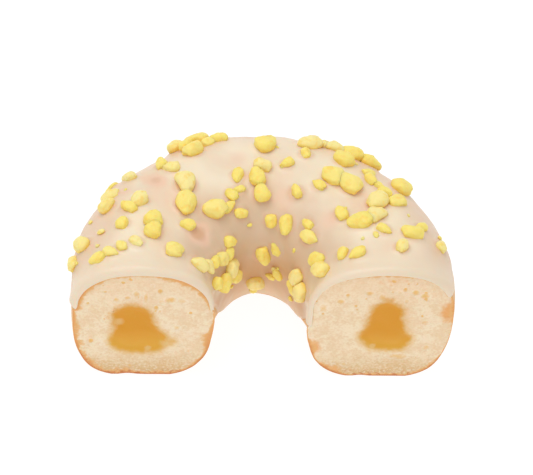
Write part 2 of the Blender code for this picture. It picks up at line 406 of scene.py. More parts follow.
def open_tree(name, inputs):
    """A new geometry tree that takes a mesh and these further inputs, and gives back a mesh."""
    tree = bpy.data.node_groups.new(name, "GeometryNodeTree")
    tree.interface.new_socket("Geometry", in_out="INPUT", socket_type="NodeSocketGeometry")
    for label, kind in inputs.items():
        tree.interface.new_socket(label, in_out="INPUT", socket_type=f"NodeSocket{kind}")
    tree.interface.new_socket("Geometry", in_out="OUTPUT", socket_type="NodeSocketGeometry")
    return tree, add(tree, "NodeGroupInput").outputs


def named(tree, name, data_type="FLOAT"):
    """The values kept at each point under this name, in geometry nodes."""
    node = add(tree, "GeometryNodeInputNamedAttribute", {"Name": name}, data_type=data_type)
    return node.outputs[0]


def close_tree(tree, geometry, material):
    """Every tree ends alike: real meshes instead of instances, then the material."""
    real = add(tree, "GeometryNodeRealizeInstances", {"Geometry": geometry}).outputs[0]
    painted = add(tree, "GeometryNodeSetMaterial", {"Geometry": real, "Material": material}).outputs[0]
    add(tree, "NodeGroupOutput", {0: painted})


def run_tree(item, tree, values):
    """The tree worked on the piece once, with its named inputs set, and its result kept as a plain mesh."""
    modifier = item.modifiers.new(tree.name, "NODES")
    modifier.node_group = tree
    for socket in tree.interface.items_tree:
        if socket.in_out == "INPUT" and socket.name in values:
            modifier[socket.identifier] = values[socket.name]
    return bake_modifier(item)


# The dough: crust, crumb and pores

CRUST_AROUND = 104
WALL_POINTS = 356
BASE_POINTS = 44
FACE_RINGS = 58
CHANNEL_AROUND = 13
RIM_CLOSER = 1.2
INNER_RING = 0.003
LUMP_SIZE = 8.0 * MM
LUMP_HEIGHT = 0.22 * MM
WRINKLE_SIZE = 1.6 * MM
WRINKLE_HEIGHT = 0.035 * MM
FOOT_CLEAR = 3.0 * MM
FOOT_LIFT = 1.1 * MM
FOOT_LIFT_SIZE = 5.0 * MM
FOOT_LIFT_OVER = 4.0 * MM
FACE_SWELL = 0.3 * MM
FACE_SWELL_OVER = 1.8 * MM
CUT_WAVE = 0.16 * MM
CUT_WAVE_SIZE = 7.0 * MM
ICING_BED = 0.95 * MM
BED_RISE = 1.2 * MM

# The fine pores and the grain of the crumb; it is more open higher up
PORE_SIZE = 1.9 * MM
PORE_DEPTH_FINE = 0.2 * MM
PORE_WARP = 1.5 * MM
PORE_SLOPE = 0.22
OPEN_REACH = (14 * MM, 28 * MM)
OPENNESS = (0.24, 0.38)
CLOSED_SHARE = 0.3
GRAIN_SIZE = 0.75 * MM
GRAIN_DEPTH = 0.16 * MM
CRUMB_SEED = 4

# Single pores at the cuts: (outward, up, half breadth, half height) in millimetres and how golden they are,
# their gold partly painted shade
LEFT_PORES = (
    (5.5, 26.6, 0.7, 0.8, 0.75),
    (3.1, 27.3, 0.9, 0.8, 0.65),
    (1.1, 28.5, 0.9, 1.1, 0.65),
    (-1.0, 27.4, 0.55, 1.8, 0.65),
    (-4.1, 29.5, 0.65, 0.9, 0.95),
    (-4.4, 26.0, 0.7, 0.9, 0.55),
    (-6.4, 26.7, 1.4, 1.1, 0.8),
    (-3.3, 23.9, 0.6, 0.9, 1.0),
    (-4.1, 22.6, 0.5, 0.8, 0.6),
    (-8.9, 26.2, 1.3, 0.9, 0.55),
    (-2.4, 31.4, 0.6, 0.8, 0.4),
    (6.1, 24.0, 0.5, 0.7, 0.45),
    (11.2, 12.1, 0.7, 0.9, 1.0),
    (-8.0, 17.0, 0.9, 0.9, 0.6),
    (8.0, 11.0, 2.0, 2.2, 0.25),
    (-10.6, 8.6, 0.4, 0.9, 0.5),
    (2.4, 3.4, 0.4, 0.7, 0.7),
    (0.3, 0.9, 1.4, 0.7, 0.5),
)
RIGHT_PORES = (
    (-8.3, 28.7, 0.6, 0.9, 0.85),
    (-9.7, 26.6, 1.0, 1.0, 0.75),
    (-3.6, 29.5, 1.1, 0.9, 0.75),
    (-0.7, 28.3, 0.9, 1.3, 0.65),
    (0.8, 32.4, 0.7, 0.9, 0.5),
    (4.2, 30.9, 0.5, 0.8, 1.0),
    (6.6, 29.9, 1.0, 1.1, 0.85),
    (8.8, 28.6, 1.2, 1.1, 0.9),
    (2.9, 29.9, 1.1, 0.7, 0.4),
    (4.8, 26.8, 0.6, 1.0, 0.55),
    (-13.2, 24.1, 1.0, 2.0, 0.6),
    (9.6, 19.5, 0.9, 1.1, 0.6),
    (10.7, 10.6, 1.0, 1.0, 0.65),
    (4.5, 7.3, 2.6, 1.3, 0.6),
    (-6.9, 22.8, 0.6, 1.1, 0.4),
    (-7.6, 4.4, 0.7, 0.8, 0.5),
    (-10.2, 5.2, 0.5, 0.7, 0.45),
)
PORE_DEPTH = 0.38 * MM
PORE_EDGE = (0.1, 1.5)

# Where the custard has soaked into the crumb beyond its edge, as (outward, up, reach) in millimetres
LEFT_SOAKED = ((-6.6, 12.0, 0.9), (1.4, 23.9, 1.1), (5.2, 23.2, 0.6))
RIGHT_SOAKED = ((6.4, 13.0, 0.3), (0.6, 26.3, 1.2))

# Toasted spots at the cuts, written like the pores
LEFT_TOASTED = (
    (-14.1, 27.0, 1.1, 1.8, 0.7),
    (13.6, 5.6, 1.9, 3.4, 0.75),
    (11.0, 1.8, 3.2, 1.6, 0.7),
    (-14.8, 10.0, 1.2, 5.5, 0.7),
)
RIGHT_TOASTED = (
    (15.6, 23.4, 3.2, 4.6, 1.0),
    (-14.6, 10.6, 2.0, 2.8, 0.9),
    (-10.6, 2.4, 3.0, 2.4, 0.9),
    (12.0, 3.6, 1.6, 1.6, 0.45),
    (0.0, 33.6, 7.0, 1.8, 0.35),
)

# How broad the browned rim of each cut is: (angle from outward, spread) in degrees, and millimetres
RIM_LEAST = 0.18
LEFT_RIM = (
    (46.0, 24.0, 0.9),
    (84.0, 10.0, 0.25),
    (122.0, 22.0, 0.95),
    (140.0, 7.0, 0.3),
    (190.0, 15.0, 1.6),
    (216.0, 12.0, 0.4),
    (226.0, 10.0, 0.6),
    (250.0, 14.0, 1.2),
    (285.0, 20.0, 1.6),
    (316.0, 12.0, 1.4),
    (338.0, 8.0, 1.3),
    (360.0, 16.0, 1.0),
)
RIGHT_RIM = (
    (94.0, 26.0, 0.4),
    (27.0, 10.0, 0.9),
    (310.0, 14.0, 0.8),
    (272.0, 26.0, 0.9),
    (230.0, 10.0, 1.5),
    (199.0, 8.0, 1.1),
)

LEFT_CUT = {"pores": LEFT_PORES, "toasted": LEFT_TOASTED, "rim": LEFT_RIM, "soaked": LEFT_SOAKED}
RIGHT_CUT = {"pores": RIGHT_PORES, "toasted": RIGHT_TOASTED, "rim": RIGHT_RIM, "soaked": RIGHT_SOAKED}


def lumps(points):
    """How far the baked surface swells or sinks at each point, fading out at the foot."""
    lump = LUMP_HEIGHT * ripple(points, LUMP_SIZE, seed=1)
    wrinkle = WRINKLE_HEIGHT * ripple(points, WRINKLE_SIZE, seed=2)
    return (lump + wrinkle) * smooth(0, FOOT_CLEAR, points[:, 2])


def foot_lift(points):
    """How far the underside is drawn up at each point, as it doesn't lie on the ground all over."""
    rise = np.clip(ripple(points, FOOT_LIFT_SIZE, seed=4), 0, None)
    return FOOT_LIFT * rise * (1 - smooth(0, FOOT_LIFT_OVER, points[:, 2]))


def dough_section(u):
    """The dough's outline at station u, lower where the icing lies on it and uneven underneath."""
    section = Section(u)
    arc = np.linspace(0, section.arc[-1], WALL_POINTS)
    rise = smooth(section.outer_edge, section.outer_edge + BED_RISE, arc)
    bed = rise * (1 - smooth(section.inner_edge - BED_RISE, section.inner_edge, arc))
    swell = lumps(on_ring(u, section.at(arc, np.zeros(WALL_POINTS))))
    wall = section.at(arc, swell - ICING_BED * bed)
    base = np.linspace(wall[-1], wall[0], BASE_POINTS + 2)[1:-1]
    loop = np.concatenate([wall, base])
    loop[:, 1] += foot_lift(on_ring(u, loop))
    return loop


def channel_section(u, rim):
    """The filling's outline at station u, with one point in the direction of each point of the rim."""
    line = filling_outline(u, OUTLINE_POINTS) - FILLING_MIDDLE
    angle = np.unwrap(np.arctan2(line[:, 1], line[:, 0]))
    reach = np.linalg.norm(line, axis=1)
    seen = rim - FILLING_MIDDLE
    wanted = np.arctan2(seen[:, 1], seen[:, 0])
    wanted = angle[0] + np.mod(wanted - angle[0], 2 * math.pi)
    radius = np.interp(wanted, angle, reach, period=2 * math.pi)
    return FILLING_MIDDLE + radius[:, None] * np.stack([np.cos(wanted), np.sin(wanted)], axis=1)


def browned_width(section, rim_parts):
    """How broad the browned rim is, in millimetres, in the direction of each point of a cut face."""
    seen = section - FILLING_MIDDLE
    angle = np.degrees(np.arctan2(seen[:, 1], seen[:, 0]))
    width = np.full(len(section), RIM_LEAST)
    for middle, spread, most in rim_parts:
        turn = np.mod(angle - middle + 180, 360) - 180
        width += most * np.exp(-((turn / spread) ** 2))
    return width


def pore_shares(section, pores):
    """How deep inside one of the single pores each point lies, from 0 to 1."""
    share = np.zeros(len(section))
    for out, up, half_out, half_up, gold in pores:
        gap = (section / MM - (out, up)) / (half_out, half_up)
        share = np.maximum(share, gold * (1 - smooth(*PORE_EDGE, np.linalg.norm(gap, axis=1))))
    return share


def cut_relief(points, inside):
    """How far the cut stands back at each point: the crumb springs out a little, in slow waves."""
    return inside * (CUT_WAVE * ripple(points, CUT_WAVE_SIZE, seed=3) - FACE_SWELL)


def make_face(u, cut):
    """A cut face from the filling's edge to the rim: rows of points on the ring and what is kept there."""
    rim = dough_section(u)
    inner = channel_section(u, rim)
    rows = 1 - (1 - np.linspace(0, 1, FACE_RINGS - 1)) ** RIM_CLOSER
    rows = np.insert(rows, 1, INNER_RING)
    section = np.concatenate([inner + (rim - inner) * t for t in rows])
    points = on_ring(u, section)
    to_rim = nearest(section, rim)
    to_filling = nearest(section, filling_outline(u, OUTLINE_POINTS)) / MM
    for out, up, size in cut["soaked"]:
        spot = np.linalg.norm(section / MM - (out, up), axis=1) - size
        to_filling = np.minimum(to_filling, np.maximum(spot, 0))
    single = pore_shares(section, cut["pores"])
    inside = smooth(0, FACE_SWELL_OVER, to_rim)
    points[:, 1] += cut_relief(points, inside) + single * PORE_DEPTH * inside
    count = len(rim)
    kept_here = {
        "crumb": np.repeat([1.0] * (FACE_RINGS - 1) + [0.0], count),
        "rim": to_rim / MM,
        "browned": browned_width(section, cut["rim"]),
        "outside": to_filling,
        "pore": single,
        "toasted": pore_shares(section, cut["toasted"]),
    }
    return points, kept_here


def make_dough(material):
    """One closed body: the crust round the ring, a crumb face at each cut, and the channel between them."""
    count = WALL_POINTS + BASE_POINTS
    points = []
    marks = {name: [] for name in ("crumb", "rim", "browned", "outside", "pore", "toasted")}

    def put(number, rows, values=None):
        start = sum(len(part) for part in points)
        points.append(rows)
        for name, parts in marks.items():
            parts.append(values[name] if values else np.zeros(len(rows)))
        return rings(start, number, count)

    right = put(FACE_RINGS, *make_face(0.0, RIGHT_CUT))
    stations = np.linspace(0, 1, CRUST_AROUND)[1:-1]
    crust = put(len(stations), np.concatenate([on_ring(u, dough_section(u)) for u in stations]))
    left = put(FACE_RINGS, *make_face(1.0, LEFT_CUT))
    stations = np.linspace(0, 1, CHANNEL_AROUND)[1:-1]
    walls = [on_ring(u, channel_section(u, dough_section(u))) for u in stations]
    channel = put(len(stations), np.concatenate(walls))
    faces = skin(right)
    faces += skin([right[-1], *crust, left[-1]])
    faces += skin(left[::-1])
    faces += skin([left[0], *channel[::-1], right[0]])
    item = new_piece("dough_body", np.concatenate(points), faces, material)
    for name, parts in marks.items():
        mark(item, name, np.concatenate(parts))
    open_crumb(item, material)
    item.data.set_sharp_from_angle(angle=CORNER)
    return item


def crumb_tree():
    """Geometry nodes that open fine pores in the crumb and roughen it with grain, where "crumb" is 1."""
    inputs = {
        "Pore size": "Float",
        "Pore depth": "Float",
        "Grain size": "Float",
        "Grain depth": "Float",
        "Seed": "Float",
        "Material": "Material",
    }
    tree, given = open_tree("open crumb", inputs)
    place = add(tree, "GeometryNodeInputPosition").outputs[0]
    shift = add(tree, "ShaderNodeCombineXYZ", {"X": given["Seed"]}).outputs[0]
    pore_scale = maths(tree, "DIVIDE", 1.0, given["Pore size"])
    grain_scale = maths(tree, "DIVIDE", 1.0, given["Grain size"])
    warp = add(tree, "ShaderNodeTexNoise", {"Vector": place, "Scale": pore_scale, "Detail": 2.0})
    pushed = {0: warp.outputs["Color"], 1: (PORE_WARP, PORE_WARP, PORE_WARP), 2: place}
    warped = add(tree, "ShaderNodeVectorMath", pushed, operation="MULTIPLY_ADD").outputs[0]
    moved = add(tree, "ShaderNodeVectorMath", {0: warped, 1: shift}, operation="ADD").outputs[0]
    cells = add(tree, "ShaderNodeTexVoronoi", {"Vector": moved, "Scale": pore_scale})
    openness = ramp(tree, height_at(tree, place), *OPEN_REACH, *OPENNESS)
    chosen = add(tree, "ShaderNodeSeparateXYZ", {0: cells.outputs["Color"]}).outputs["X"]
    room = maths(tree, "MULTIPLY", openness, ramp(tree, chosen, CLOSED_SHARE, 1.0))
    hole = maths(tree, "SUBTRACT", room, cells.outputs["Distance"])
    soft_hole = ramp(tree, hole, 0.0, PORE_SLOPE)
    crumb = named(tree, "crumb")
    pore = maths(tree, "MULTIPLY", soft_hole, crumb)
    all_pores = maths(tree, "MAXIMUM", pore, named(tree, "pore"))
    grain = add(tree, "ShaderNodeTexNoise", {"Vector": moved, "Scale": grain_scale, "Detail": 3.0})
    uneven = maths(tree, "SUBTRACT", grain.outputs["Fac"], 0.5)
    sink = maths(tree, "MULTIPLY", pore, given["Pore depth"])
    rough = maths(tree, "MULTIPLY", maths(tree, "MULTIPLY", uneven, given["Grain depth"]), crumb)
    depth = maths(tree, "ADD", sink, rough)
    inward = add(tree, "ShaderNodeCombineXYZ", {"Y": depth}).outputs[0]
    lowered = add(tree, "GeometryNodeSetPosition", {"Geometry": given["Geometry"], "Offset": inward})
    values = {"Geometry": lowered.outputs[0], "Name": "pore", "Value": all_pores}
    stored = add(tree, "GeometryNodeStoreNamedAttribute", values, data_type="FLOAT", domain="POINT")
    close_tree(tree, stored.outputs[0], given["Material"])
    return tree


def open_crumb(item, material):
    values = {
        "Pore size": PORE_SIZE,
        "Pore depth": PORE_DEPTH_FINE,
        "Grain size": GRAIN_SIZE,
        "Grain depth": GRAIN_DEPTH,
        "Seed": float(CRUMB_SEED),
        "Material": material,
    }
    run_tree(item, crumb_tree(), values)


CRUST_GOLD = tone(232, 178, 112)
CRUST_PALE = tone(241, 199, 146)
CRUST_LOW = tone(221, 163, 102)
CRUST_FOOT = tone(196, 120, 66)
CRUMB_PALE = tone(245, 223, 189)
CRUMB_WARM = tone(238, 208, 168)
CRUMB_TOP = tone(242, 209, 170)
CRUMB_LOW = tone(215, 173, 110)
CRUMB_FLECK_AND_RIM_LIGHT = tone(253, 241, 220)
PORE_GOLD_AND_SHADE = tone(239, 192, 118)
TOASTED = tone(235, 169, 98)
RIM_GOLD = tone(234, 180, 112)
RIM_ORANGE = tone(229, 160, 90)
RIM_BROWN = tone(208, 128, 62)
SCORCHED = tone(198, 108, 46)
CUSTARD_DEEP = tone(220, 150, 33)
CUSTARD_LOW = tone(226, 166, 55)
CUSTARD_EDGE = tone(230, 178, 84)
CUSTARD_PALE = tone(233, 203, 146)

# Sizes of the patches of colour on the crust and the crumb
CRUST_PATCH = 7 * MM
CRUST_SPECK = 0.6 * MM
MOTTLE_COARSE = 4.5 * MM
MOTTLE_FINE = 1.1 * MM
STREAK_SIZE = 1.4 * MM
SAND_SIZE = 0.55 * MM
FRAY_SIZE = 0.6 * MM
SOAK_SIZE = 1.3 * MM
TOAST_SIZE = 1.2 * MM
TEAR_SIZE = 1.2 * MM
SCORCH_SIZE = 0.95 * MM
CRUST_BUMP_SIZE = 0.35 * MM
CRUST_BUMP = 0.12 * MM

# Heights between which a colour comes in, from its least at the first to its most at the second
CRUST_LOW_REACH = (9 * MM, 1 * MM)
CRUST_FOOT_REACH = (0.8 * MM, 0.1 * MM)
CRUMB_TOP_REACH = (22 * MM, 34 * MM)
CRUMB_LOW_REACH = (10 * MM, 0.5 * MM)
SAND_REACH = (9 * MM, 1 * MM)
CUSTARD_LOW_REACH = (17 * MM, 10 * MM)
CUSTARD_EDGE_REACH = (22 * MM, 12 * MM)
RIM_BROWN_REACH = (14 * MM, 5 * MM)
SCORCH_REACH = (3.0 * MM, 0.7 * MM)

# The crumb's streaks slant, and are drawn out lengthwise
STREAK_TURN = (0.0, math.radians(28.0), 0.0)
STREAK_SCALE = (0.22, 1.0, 1.0)


def soaked(tree, place, crumb):
    """Custard inside its edge and crumb outside it, blurred into each other along a wandering line."""
    height = height_at(tree, place)
    line = wander(tree, place, SOAK_SIZE, 1.6, -0.55, 3.0)
    far = maths(tree, "ADD", kept(tree, "outside"), line)
    custard = lay(tree, CUSTARD_DEEP, CUSTARD_LOW, height, *CUSTARD_LOW_REACH)
    low = ramp(tree, height, *CUSTARD_EDGE_REACH, 0.5, 1.0)
    custard = blend(tree, maths(tree, "MULTIPLY", ramp(tree, far, -1.6, 0.2), low), custard, CUSTARD_EDGE)
    return lay(tree, custard, crumb, far, -1.6, 1.2)


def crumb_colours(tree, place, height):
    """Cream with a warm mottle, slanted streaks, a coarser grain low down, and golden pores: the crumb's own
    tint deepened as painted shade towards each pore's bottom, with a paler painted light ring round its rim.
    """
    fine = cloud(tree, place, MOTTLE_FINE, 3.0, 0.6)
    mottle = maths(tree, "ADD", cloud(tree, place, MOTTLE_COARSE), fine)
    crumb = lay(tree, CRUMB_PALE, CRUMB_WARM, mottle, 0.82, 1.18)
    crumb = lay(tree, crumb, CRUMB_TOP, height, *CRUMB_TOP_REACH, most=0.6)
    crumb = lay(tree, crumb, CRUMB_LOW, height, *CRUMB_LOW_REACH, most=0.75)
    slant = {"Vector": place, "Rotation": STREAK_TURN, "Scale": STREAK_SCALE}
    pulled = add(tree, "ShaderNodeMapping", slant).outputs[0]
    crumb = lay(tree, crumb, CRUMB_TOP, cloud(tree, pulled, STREAK_SIZE), 0.56, 0.7, most=0.3)
    sand = cloud(tree, place, SAND_SIZE, 2.0, 0.6)
    coarse = ramp(tree, height, *SAND_REACH, 0.12, 0.38)
    dark = maths(tree, "MULTIPLY", ramp(tree, sand, 0.52, 0.66), coarse)
    light = maths(tree, "MULTIPLY", ramp(tree, sand, 0.48, 0.36), coarse)
    crumb = blend(tree, dark, crumb, CRUMB_LOW)
    crumb = blend(tree, light, crumb, CRUMB_FLECK_AND_RIM_LIGHT)
    # Painted light and shade in each pore: a paler ring round its rim, and towards its bottom gold, the
    # crumb's own tint deepened as painted shade
    pore = maths(tree, "ADD", kept(tree, "pore"), wander(tree, place, FRAY_SIZE, 0.6))
    wall = maths(tree, "MULTIPLY", ramp(tree, pore, 0.05, 0.2), ramp(tree, pore, 0.4, 0.2))
    crumb = blend(tree, maths(tree, "MULTIPLY", wall, 0.2), crumb, CRUMB_FLECK_AND_RIM_LIGHT)
    return lay(tree, crumb, PORE_GOLD_AND_SHADE, pore, 0.2, 0.95)


def crust_colours(tree, place, height):
    """Patchy gold, browner low down and at the foot, with fine brown specks."""
    crust = lay(tree, CRUST_GOLD, CRUST_PALE, cloud(tree, place, CRUST_PATCH, 3.0), 0.28, 0.72)
    crust = lay(tree, crust, CRUST_LOW, height, *CRUST_LOW_REACH, most=0.75)
    crust = lay(tree, crust, CRUST_FOOT, height, *CRUST_FOOT_REACH)
    return lay(tree, crust, CRUST_FOOT, cloud(tree, place, CRUST_SPECK, 3.0), 0.55, 0.75, most=0.35)


def dough_material():
    """Golden crust outside; at the cuts a cream crumb with a browned rim and a soaked middle."""
    look = {"roughness": 0.62, "subsurface": 0.12, "depth": 0.8 * MM}
    material, tree, shader, place = new_material("dough", **look)
    height = height_at(tree, place)
    crust = crust_colours(tree, place, height)
    crumb = soaked(tree, place, crumb_colours(tree, place, height))

    patchy = wander(tree, place, TOAST_SIZE, 0.9, 0.0, 3.0)
    toasted = maths(tree, "ADD", kept(tree, "toasted"), patchy)
    crumb = lay(tree, crumb, TOASTED, toasted, 0.15, 0.95)

    torn = wander(tree, place, TEAR_SIZE, 2.4, 1.0, 3.0)
    share = maths(tree, "DIVIDE", kept(tree, "rim"), maths(tree, "MULTIPLY", kept(tree, "browned"), torn))
    deep = lay(tree, RIM_ORANGE, RIM_BROWN, height, *RIM_BROWN_REACH)
    browned = lay(tree, RIM_GOLD, deep, share, 0.9, 0.1)
    crumb = lay(tree, crumb, browned, share, 1.5, 0.6)

    foot = ramp(tree, height, *SCORCH_REACH, 0.0, 0.75)
    spots = ramp(tree, cloud(tree, place, SCORCH_SIZE), 0.5, 0.62)
    crumb = blend(tree, maths(tree, "MULTIPLY", spots, foot), crumb, SCORCHED)

    colour = blend(tree, kept(tree, "crumb"), crust, crumb)
    finish(tree, shader, colour, cloud(tree, place, CRUST_BUMP_SIZE, 3.0), CRUST_BUMP, strength=0.6)
    return material


# The custard filling

CUSTARD_AROUND = 60
CUSTARD_POINTS = 120
CAP_RINGS = 26
CUSTARD_SINK = 0.25 * MM
CUSTARD_WAVE = 0.12 * MM
CUSTARD_WAVE_SIZE = 3.0 * MM
CUSTARD_SHORE = 2.0 * MM
CUSTARD_FRAY_SIZE = 1.0 * MM
CUSTARD_BUMP_SIZE = 1.2 * MM
CUSTARD_BUMP = 0.1 * MM
CUSTARD_SHINE = 0.25

# Pale spots where crumb has mixed in: (outward, up, reach) in millimetres
PALE_EDGE = (0.2, 1.3)
PALE_SPOTS_LEFT = ((4.9, 18.9, 1.5), (-1.7, 9.6, 1.0), (-5.6, 11.2, 1.6))
PALE_SPOTS_RIGHT = ((-3.6, 20.2, 0.8), (4.6, 21.2, 0.8), (-1.6, 11.0, 0.9))


def make_custard(material):
    """A closed body along the channel, its two ends a little sunk and uneven."""
    points = []
    edge = []
    pale = []

    def put(rows, edge_here, pale_here):
        start = sum(len(part) for part in points)
        points.append(rows)
        edge.append(edge_here)
        pale.append(pale_here)
        return start

    def cap(u, spots):
        outer = filling_outline(u, CUSTARD_POINTS)
        shares = np.linspace(1, 0, CAP_RINGS + 1)[:-1]
        section = np.concatenate([FILLING_MIDDLE + (outer - FILLING_MIDDLE) * t for t in shares])
        section = np.concatenate([section, FILLING_MIDDLE[None]])
        gap = nearest(section, filling_outline(u, OUTLINE_POINTS))
        rows = on_ring(u, section)
        uneven = CUSTARD_WAVE * ripple(rows, CUSTARD_WAVE_SIZE, seed=5)
        rows[:, 1] += cut_relief(rows, 1.0) + (CUSTARD_SINK + uneven) * smooth(0, CUSTARD_SHORE, gap)
        light = np.zeros(len(section))
        for out, up, size in spots:
            far = np.linalg.norm(section / MM - (out, up), axis=1) / size
            light = np.maximum(light, 1 - smooth(*PALE_EDGE, far))
        start = put(rows, -gap / MM, light)
        return rings(start, CAP_RINGS, CUSTARD_POINTS), start + len(section) - 1

    right, right_middle = cap(0.0, PALE_SPOTS_RIGHT)
    stations = np.linspace(0, 1, CUSTARD_AROUND)
    side = np.concatenate([on_ring(u, filling_outline(u, CUSTARD_POINTS)) for u in stations])
    start = put(side, np.zeros(len(side)), np.zeros(len(side)))
    walls = rings(start, CUSTARD_AROUND, CUSTARD_POINTS)
    left, left_middle = cap(1.0, PALE_SPOTS_LEFT)
    faces = skin([*right[::-1], *walls, *left])
    for i in range(CUSTARD_POINTS):
        j = (i + 1) % CUSTARD_POINTS
        faces.append((right[-1][i], right[-1][j], right_middle))
        faces.append((left[-1][j], left[-1][i], left_middle))
    item = new_piece("custard", np.concatenate(points), faces, material)
    mark(item, "outside", np.concatenate(edge))
    mark(item, "pale", np.concatenate(pale))
    item.data.set_sharp_from_angle(angle=CORNER)
    return item


def custard_material():
    """Amber, lighter low down, fading into the crumb at its edge, with pale spots of mixed-in crumb."""
    look = {"roughness": 0.45, "subsurface": 0.15, "depth": 1.2 * MM}
    material, tree, shader, place = new_material("custard", **look)
    shader.inputs["Specular IOR Level"].default_value = CUSTARD_SHINE
    ragged = wander(tree, place, CUSTARD_FRAY_SIZE, 0.8)
    pale = maths(tree, "ADD", kept(tree, "pale"), ragged)
    colour = lay(tree, soaked(tree, place, CRUMB_WARM), CUSTARD_PALE, pale, 0.1, 1.0, most=0.5)
    finish(tree, shader, colour, cloud(tree, place, CUSTARD_BUMP_SIZE), CUSTARD_BUMP, strength=0.4)
    return material


# The icing coat

ICING_AROUND = 236
ICING_ACROSS = 124
EDGE_WAVE = 0.5 * MM
EDGE_WAVE_SIZE = 5.0 * MM
EDGE_THIN = 1.6 * MM
EDGE_PROUD = 0.12 * MM
EDGE_SUNK = 0.5 * MM
COAT_WAVE = 0.6 * MM
COAT_WAVE_SIZE = 9.0 * MM
COAT_FINE = 0.05 * MM
COAT_FINE_SIZE = 3.0 * MM
END_SHARE = 0.022
END_STATIONS = 14
ROLL_HEIGHT = 0.2 * MM
ROLL_AT = 1.4 * MM
ROLL_SPREAD = 1.7 * MM
ROLL_ROUND = 1.6 * MM
LIP_LEAST = 0.12
LIP_PROUD = 0.3 * MM
CREEP_HEIGHT = 0.4 * MM
CREEP_WIDTH = 0.8 * MM
FOOT_REACH = 0.38
BEND_SIZE = 9.0 * MM
LIP_FRAY_SIZE = 3.0 * MM
GLOSS_SIZE = 4.0 * MM
ICING_BUMP_SIZE = 0.8 * MM
ICING_BUMP = 0.04 * MM

# Thin spots in the icing: (station, millimetres inward of the crown, reach in millimetres, share)
THIN_SPOTS = (
    (0.73, -5.5, 4.5, 0.8),
    (0.78, 11.4, 5.0, 1.0),
    (0.203, -1.9, 4.6, 0.6),
    (0.79, -9.2, 3.5, 0.5),
    (0.427, 8.5, 5.5, 0.45),
    (0.55, -1.4, 4.0, 0.4),
    (0.07, -3.3, 3.0, 0.5),
    (0.25, 9.5, 4.5, 0.5),
)
THIN_SIZE = 4.0 * MM
THIN_UNEVEN = 0.5
THIN_EDGE = (0.1, 1.0)
THIN_DENT = 0.25 * MM
CUT_LAG = 3.0
ICING_LIGHT = tone(245, 229, 203)
ICING_MID = tone(240, 221, 194)
ICING_THIN = tone(239, 201, 174)
ICING_BARE_AND_SHADOW = tone(222, 176, 141)
# Painted shade: the steep outer side, the slope into the hole and the hole's wall, darker and warmer inward;
# down the wall the icing is also thinner and the crust shows through
ICING_OUTER_SHADE = tone(232, 203, 174)
ICING_SLOPE_SHADE = tone(221, 192, 162)
ICING_DEEP_THIN_AND_SHADE = tone(216, 174, 130)
ICING_WALL_THIN_AND_SHADE = tone(227, 190, 148)
ICING_LIP = tone(239, 219, 192)


def icing_lifts(points, share, swell):
    """Outer and inner lifts of the icing at each point: wavy, and thinner towards its two edges."""
    wavy = COAT_WAVE * swell + COAT_FINE * ripple(points, COAT_FINE_SIZE, seed=8)
    outer = -EDGE_PROUD + (ICING_PROUD + EDGE_PROUD + wavy) * share
    inner = -EDGE_SUNK - (ICING_DEPTH - EDGE_SUNK) * share
    return outer, inner


def icing_station(u):
    """The icing's outer and inner points at station u, how far inward each lies, and its swell."""
    section = Section(u)
    ends = on_ring(u, section.at(np.array([section.outer_edge, section.inner_edge]), np.zeros(2)))
    shift = EDGE_WAVE * ripple(ends, EDGE_WAVE_SIZE, seed=6)
    start = section.outer_edge + shift[0]
    stop = section.inner_edge + shift[1]
    arc = start + (stop - start) * np.linspace(0, 1, ICING_ACROSS)
    share = np.sqrt(smooth(0, EDGE_THIN, np.minimum(arc - start, stop - arc)))
    ground = on_ring(u, section.at(arc, np.zeros(ICING_ACROSS)))
    swell = ripple(ground, COAT_WAVE_SIZE, seed=7)
    outer, inner = icing_lifts(ground, share, swell)
    inward = (arc - section.crown) / MM - CUT_LAG * math.cos(math.pi * u) ** 2
    lump = lumps(ground)
    return section.at(arc, outer + lump), section.at(arc, inner + lump), inward, swell


def thin_shares(points):
    """How thin the icing is at each point, from 0 to 1, where the crust shows through."""
    share = np.zeros(len(points))
    uneven = 1 + THIN_UNEVEN * ripple(points, THIN_SIZE, seed=12)
    for u, inward, reach, most in THIN_SPOTS:
        section = Section(u)
        spot = on_ring(u, section.at(np.array([section.crown + inward * MM]), np.zeros(1)))
        gap = np.linalg.norm(points - spot, axis=1) / (reach * MM)
        share = np.maximum(share, most * (1 - smooth(*THIN_EDGE, gap * uneven)))
    return share


def foot_shares(points, chips):
    """How near each point of the icing is to the foot of a crunch piece, from 0 to 1."""
    share = np.zeros(len(points))
    for chip in chips:
        gap = np.linalg.norm(points - chip["point"], axis=1) - FOOT_REACH * chip["length"]
        share = np.maximum(share, np.exp(-((gap / CREEP_WIDTH) ** 2)))
    return share


def roll_end(u, outer, inner):
    """The icing's outer points near a cut, in a soft roll down to the crust, and how far they stand out."""
    gap = on_ring(u, outer)[:, 1] + CUT_OFFSET
    roll = ROLL_HEIGHT * np.exp(-(((gap - ROLL_AT) / ROLL_SPREAD) ** 2))
    thick = outer - inner
    depth = np.linalg.norm(thick, axis=1)
    short = np.clip(gap / ROLL_ROUND, 0, 1)
    share = np.maximum(np.sqrt(1 - (1 - short) ** 2), LIP_LEAST)
    proud = LIP_PROUD * (1 - short) * np.clip(depth / (ICING_PROUD + ICING_DEPTH), 0, 1) ** 2
    return inner + thick * ((1 + roll / depth) * share)[:, None], proud


